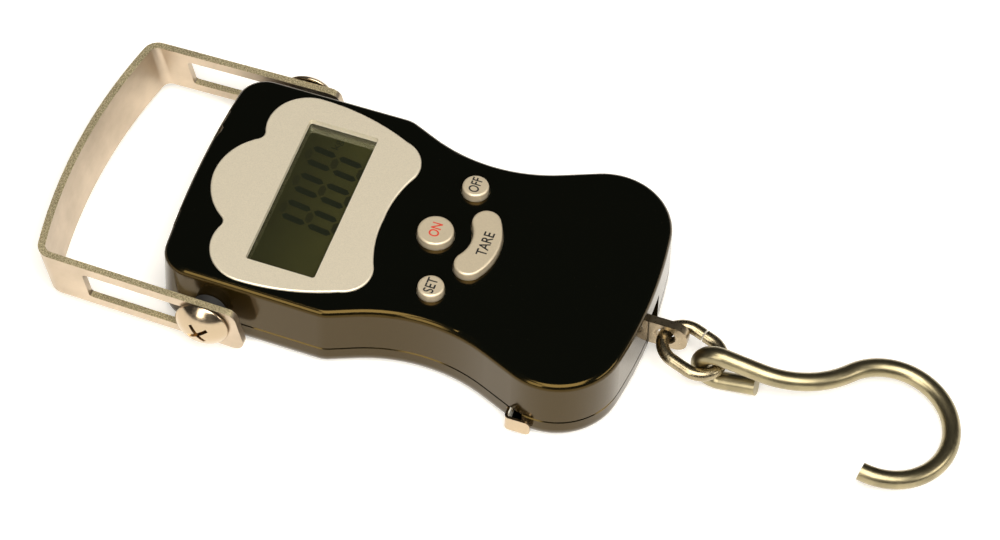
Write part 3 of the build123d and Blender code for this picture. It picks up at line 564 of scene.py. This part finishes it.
def handle_screw(side, name):
    """High round head with a rolled rim and a cross recess, on a plain shank."""
    low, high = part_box(f"handle_screw_{name}")
    head_r = (high.z - low.z) / 2
    head_out = max(abs(low.x), abs(high.x))
    shank_in = min(abs(low.x), abs(high.x))
    head_h, shank_r, rim_r = 3.3 * MM, 2.0 * MM, 0.35 * MM
    seat_margin = 0.25 * MM
    rim_steps, dome_steps = 6, 12
    seat = head_out - head_h
    profile = [(0, shank_in), (shank_r, shank_in), (shank_r, seat), (head_r - seat_margin, seat)]
    for step in range(rim_steps + 1):
        turn = math.radians(-90 + 130 * step / rim_steps)
        profile.append((head_r - rim_r + rim_r * math.cos(turn), seat + rim_r + rim_r * math.sin(turn)))
    dome_foot_r, dome_foot_z = profile[-1]
    rise = head_out - dome_foot_z
    dome_r = (dome_foot_r ** 2 + rise ** 2) / (2 * rise)
    for step in range(1, dome_steps + 1):
        radius = dome_foot_r * (1 - step / dome_steps)
        profile.append((radius, head_out - dome_r + math.sqrt(dome_r ** 2 - radius ** 2)))
    profile[-1] = (0, head_out)
    bm = bmesh.new()
    lathe(bm, profile)
    blank = add_object("screw_blank", mesh_of("screw_blank", bm))
    recess_reach, recess_w, recess_depth, recess_turn = 3.1 * MM, 0.85 * MM, 1.8 * MM, math.radians(38)
    tool = add_object("screw_tool", cross_cutter(recess_reach, recess_w, recess_depth, head_out, recess_turn))
    cut = blank.modifiers.new("recess", "BOOLEAN")
    cut.object = tool
    cut.solver = "EXACT"
    cut.use_self = True
    bpy.context.view_layer.update()
    mesh = bpy.data.meshes.new_from_object(blank.evaluated_get(bpy.context.evaluated_depsgraph_get()))
    for obj in (blank, tool):
        bpy.data.objects.remove(obj)
    bm = bmesh.new()
    bm.from_mesh(mesh)
    bmesh.ops.rotate(bm, verts=bm.verts, matrix=Matrix.Rotation(side * math.pi / 2, 3, "Y"))
    middle = (low + high) / 2
    bmesh.ops.translate(bm, verts=bm.verts, vec=(0, middle.y, middle.z))
    new_piece(f"pivot_screw_{name}", bm, NICKEL, "case", (f"handle_screw_{name}",), 30)


for screw_side, screw_name in ((1, "right"), (-1, "left")):
    handle_screw(screw_side, screw_name)


# ---------------------------------------------------------------- springs and tape
def battery_springs():
    """Cone-shaped coil springs that press the flat ends of the cells."""
    low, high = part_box("battery_springs")
    bm = bmesh.new()
    wire, turns, steps = 0.3 * MM, 3, 72
    inset, length = 3.2 * MM, 3.5 * MM
    foot_r, tip_r = 2.9 * MM, 1.8 * MM
    z = (low.z + high.z) / 2
    for x, foot, away in ((low.x + inset, high.y, -1), (high.x - inset, low.y, 1)):
        points = []
        for step in range(steps + 1):
            share = step / steps
            turn = 2 * math.pi * turns * share
            radius = foot_r + (tip_r - foot_r) * share
            y = foot + away * (wire + (length - 2 * wire) * share)
            points.append(Vector((x + radius * math.cos(turn), y, z + radius * math.sin(turn))))
        tube(bm, points, wire, 8)
    new_piece("contact_coils", bm, BRIGHT_STEEL, "case", ("battery_springs",), 60)


def wound_strip(name, node, material, body, turns, thickness, inner):
    """Flat strip wound in a spiral, from the radius inner, that fills a ring-shaped CAD node."""
    steps_per_turn = 48
    low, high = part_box(node)
    centre = Vector(((low.x + high.x) / 2, (low.y + high.y) / 2, 0))
    outer = (high.x - low.x) / 2
    steps = turns * steps_per_turn
    bm = bmesh.new()
    rings = []
    for step in range(steps + 1):
        turn = 2 * math.pi * step / steps_per_turn
        radius = inner + (outer - thickness - inner) * step / steps
        out = Vector((math.cos(turn), math.sin(turn), 0))
        rings.append([bm.verts.new(centre + out * r + Vector((0, 0, z)))
                      for r, z in ((radius, low.z), (radius + thickness, low.z),
                                   (radius + thickness, high.z), (radius, high.z))])
    for near, far in zip(rings, rings[1:]):
        join_rings(bm, far, near)
    bm.faces.new(rings[0])
    bm.faces.new(list(reversed(rings[-1])))
    new_piece(name, bm, material, body, (node,), 40)


def drawn_tape():
    """Length of tape from the reel to the tab, a plain box in the place of the CAD blade."""
    low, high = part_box("tape_blade")
    section = ((low.y, low.z), (high.y, low.z), (high.y, high.z), (low.y, high.z))
    bm = bmesh.new()
    tab_end, reel_end = ([bm.verts.new((x, y, z)) for y, z in section] for x in (low.x, high.x))
    join_rings(bm, tab_end, reel_end)
    bm.faces.new(tab_end)
    bm.faces.new(reel_end)
    bmesh.ops.recalc_face_normals(bm, faces=bm.faces)
    obj = add_object("drawn_tape", mesh_of("drawn_tape", bm), TAPE)
    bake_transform(obj)
    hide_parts("tape_blade")


battery_springs()
drawn_tape()
wound_strip("wound_tape", "tape_coil", TAPE, "tape_reel",
            turns=9, thickness=0.28 * MM, inner=3.75 * MM)
wound_strip("return_spring", "tape_spring", BRIGHT_STEEL, "case",
            turns=7, thickness=0.2 * MM, inner=1.7 * MM)


# ---------------------------------------------------------------- floor, light, camera
def make_floor():
    """White studio floor that glows a little, so that it reads as plain white."""
    white, shade = (0.93, 0.92, 0.9), (0.92, 0.91, 0.89)
    f = Finish("floor_white", white, roughness=0.9,
               Emission_Color=(1.0, 0.97, 0.92, 1), Emission_Strength=0.35)
    f.color(f.mix(f.noise(3, 2), white, shade))
    bm = bmesh.new()
    bmesh.ops.create_grid(bm, x_segments=4, y_segments=4, size=6)
    floor = add_object("floor", mesh_of("floor", bm), f.mat)
    floor.location.z = -0.01 * MM


def aimed(name, data, place, turned):
    """Object with its place and a quaternion."""
    obj = add_object(name, data)
    obj.location = place
    obj.rotation_mode = "QUATERNION"
    obj.rotation_quaternion = turned
    return obj


def area_light(name, place, aim, size, power, tint):
    light = bpy.data.lights.new(name, "AREA")
    light.shape = "RECTANGLE"
    light.size, light.size_y = size
    light.energy = power
    light.color = tint
    aimed(name, light, place, (Vector(aim) - Vector(place)).to_track_quat("-Z", "Y"))


def light_scene():
    """Three soft boxes and a dim world, all slightly warm."""
    warm = (1.0, 0.965, 0.9)
    area_light("top_softbox", (-0.55, -0.35, 1.25), (0, 0, 0), (1.1, 1.1), 26, warm)
    area_light("left_softbox", (-1.2, 0.25, 0.75), (0, 0.01, 0), (0.5, 0.9), 8, warm)
    area_light("hook_end_softbox", (0.1, -1.3, 0.6), (0, -0.03, 0), (0.8, 0.35), 5, warm)
    world = bpy.data.worlds.new("studio")
    world.use_nodes = True
    background = world.node_tree.nodes["Background"]
    background.inputs["Color"].default_value = (1.0, 0.96, 0.9, 1)
    background.inputs["Strength"].default_value = 0.05
    scene.world = world


def make_camera():
    """The camera stands round the point that it looks at: angle from -X towards -Y, height angle, roll."""
    target = Vector((2.76, -16.79, 9.0)) * MM
    turn, height, roll = math.radians(17.315), math.radians(53.109), math.radians(2.442)
    distance = 1.2212
    back = Vector((-math.cos(turn) * math.cos(height), -math.sin(turn) * math.cos(height), math.sin(height)))
    camera = bpy.data.cameras.new("camera")
    camera.lens = 205.745
    camera.sensor_width = 36
    camera.clip_start = 0.05
    turned = (-back).to_track_quat("-Z", "Y") @ Quaternion((0, 0, 1), roll)
    scene.camera = aimed("camera", camera, target + back * distance, turned)


make_floor()
light_scene()
make_camera()
scene.view_settings.view_transform = "Standard"
